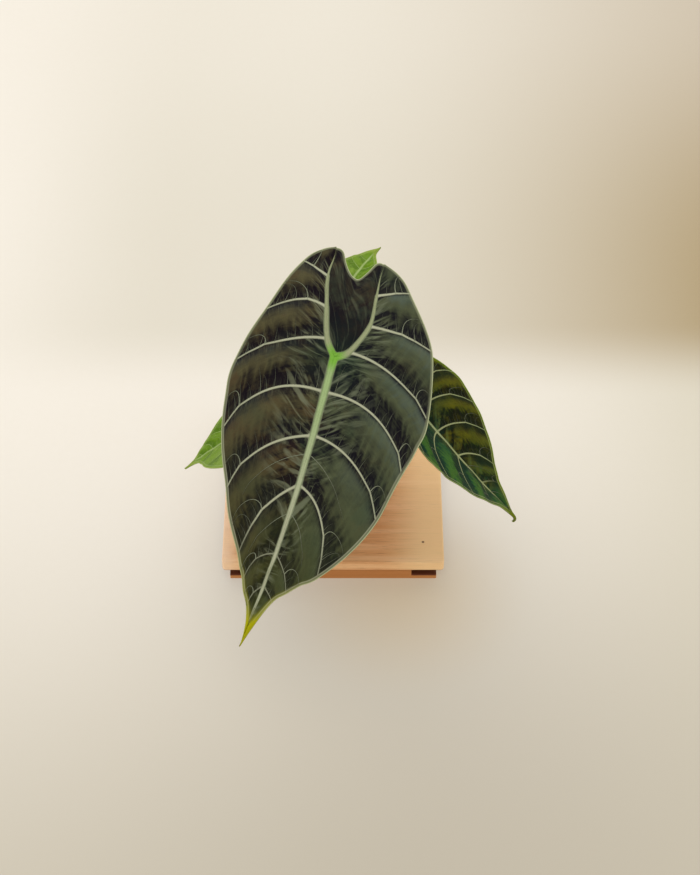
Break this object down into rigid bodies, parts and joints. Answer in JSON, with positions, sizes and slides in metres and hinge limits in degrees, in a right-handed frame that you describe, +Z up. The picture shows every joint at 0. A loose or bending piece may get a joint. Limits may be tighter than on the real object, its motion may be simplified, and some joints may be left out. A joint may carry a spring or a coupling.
{
  "type": "potted alocasia watsoniana",
  "caption": "Potted jewel alocasia: arrow-shaped, dark quilted leaves with pale veins on arching green stalks, in a round clay pot on a low wooden stand.",
  "frame": {"origin": "middle of the stand's underside, on the pot's axis", "axes": "+Z up, -Y to the front where the largest leaf hangs, +X to the right as seen from the front"},
  "size_m": [0.2951, 0.3601, 0.2966],
  "materials": {
    "stand_wood": "planed light softwood, thin satin oil, fine straight grain",
    "terracotta": "unglazed fired clay, matte, faint mineral bloom",
    "potting_mix": "loose dark bark and peat mix, matte",
    "stalk_green": "smooth light green stalk, faint mottling, soft sheen",
    "blade_dark": "leathery near-black olive leaf, silvery veins, satin sheen",
    "blade_young": "fresh green young leaf, pale veins, satin sheen"
  },
  "bodies": {
    "root": {"stand_board": "stand_wood", "stand_rail_front": "stand_wood", "stand_rail_middle": "stand_wood", "stand_rail_rear": "stand_wood", "pot": "terracotta", "soil": "potting_mix", "stalk_front": "stalk_green", "stalk_right": "stalk_green", "stalk_left": "stalk_green", "stalk_back": "stalk_green", "leaf_front": "blade_dark", "leaf_right": "blade_dark", "leaf_left": "blade_young", "leaf_back": "blade_young"}
  },
  "joints": []
}
